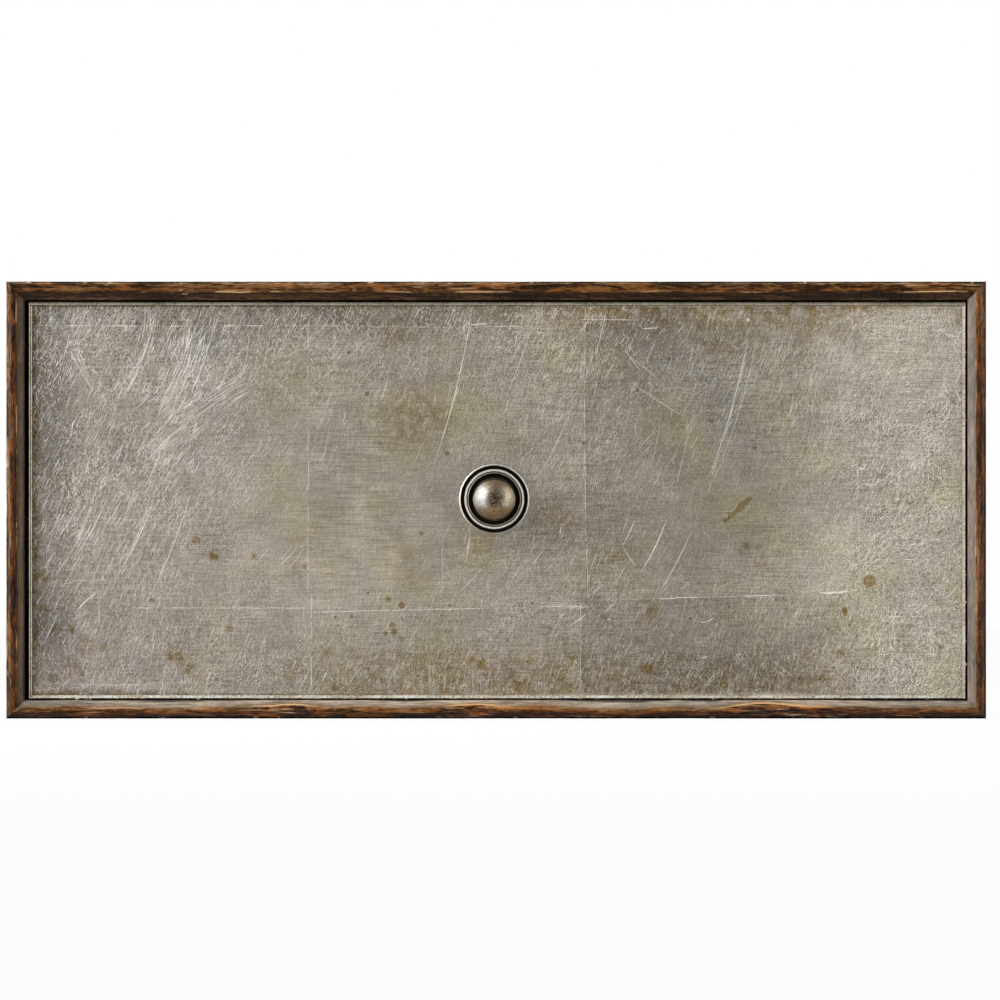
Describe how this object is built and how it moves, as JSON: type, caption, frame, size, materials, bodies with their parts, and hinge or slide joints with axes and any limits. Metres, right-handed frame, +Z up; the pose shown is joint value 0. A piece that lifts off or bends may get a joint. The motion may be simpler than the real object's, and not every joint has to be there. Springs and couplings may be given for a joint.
{
  "type": "nightstand",
  "caption": "Low mitred wooden nightstand case with an inset drawer: leafed front edged with half-round beads, ringed dome knob, dovetailed box on full-extension ball slides.",
  "frame": {"origin": "centre of the case's rectangular footprint, on the plane of its underside", "axes": "+X to the right seen from the front, +Z up; the drawer opens towards -Y and the back that meets the wall faces +Y"},
  "size_m": [0.5, 0.3789, 0.223],
  "materials": {
    "walnut": "dark stain, rubbed through to tan and orange brown, glossy grey-brown bevel",
    "plywood": "clear lacquer",
    "drawer_wood": "clear lacquer",
    "silver_leaf": "silver-coloured leaf over wood, scratched and tarnished, satin",
    "pewter": "antiqued, dark in the grooves, burnished on the high points",
    "zinc_steel": "bright zinc plate",
    "screw_steel": "zinc plate",
    "bearing_steel": "polished"
  },
  "bodies": {
    "case": {"case_top": "walnut", "case_bottom": "walnut", "case_left": "walnut", "case_right": "walnut", "mitre_splines": "drawer_wood", "back_panel": "plywood", "hanging_rail": "drawer_wood", "rail_screws": "screw_steel", "slide_case_left": "zinc_steel", "slide_case_right": "zinc_steel", "case_screws_left": "screw_steel", "case_screws_right": "screw_steel"},
    "drawer": {"drawer_front": "drawer_wood", "leaf_panel": "silver_leaf", "bead_top": "silver_leaf", "bead_bottom": "silver_leaf", "bead_left": "silver_leaf", "bead_right": "silver_leaf", "drawer_side_left": "drawer_wood", "drawer_side_right": "drawer_wood", "drawer_box_front": "drawer_wood", "drawer_back": "drawer_wood", "drawer_bottom": "plywood", "front_screws": "screw_steel", "knob_rose": "pewter", "knob_head": "pewter", "knob_washer": "screw_steel", "knob_screw": "screw_steel", "slide_drawer_left": "zinc_steel", "slide_drawer_right": "zinc_steel", "drawer_screws_left": "screw_steel", "drawer_screws_right": "screw_steel"},
    "slide_middles": {"slide_middle_left": "zinc_steel", "slide_middle_right": "zinc_steel"},
    "outer_ball_cages": {"outer_cage_left": "zinc_steel", "outer_cage_right": "zinc_steel", "outer_balls_left": "bearing_steel", "outer_balls_right": "bearing_steel"},
    "inner_ball_cages": {"inner_cage_left": "zinc_steel", "inner_cage_right": "zinc_steel", "inner_balls_left": "bearing_steel", "inner_balls_right": "bearing_steel"}
  },
  "joints": [
    {"name": "drawer_slide", "type": "slide", "parent": "case", "child": "drawer", "axis": [0, -1, 0], "range_m": [0, 0.3]},
    {"name": "slide_middle_travel", "type": "slide", "parent": "case", "child": "slide_middles", "axis": [0, -1, 0], "range_m": [0, 0.15]},
    {"name": "outer_cage_travel", "type": "slide", "parent": "case", "child": "outer_ball_cages", "axis": [0, -1, 0], "range_m": [0, 0.075]},
    {"name": "inner_cage_travel", "type": "slide", "parent": "case", "child": "inner_ball_cages", "axis": [0, -1, 0], "range_m": [0, 0.225]}
  ],
  "couplings": [
    {"joint": "slide_middle_travel", "follows": "drawer_slide", "ratio": 0.5},
    {"joint": "outer_cage_travel", "follows": "drawer_slide", "ratio": 0.25},
    {"joint": "inner_cage_travel", "follows": "drawer_slide", "ratio": 0.75}
  ]
}
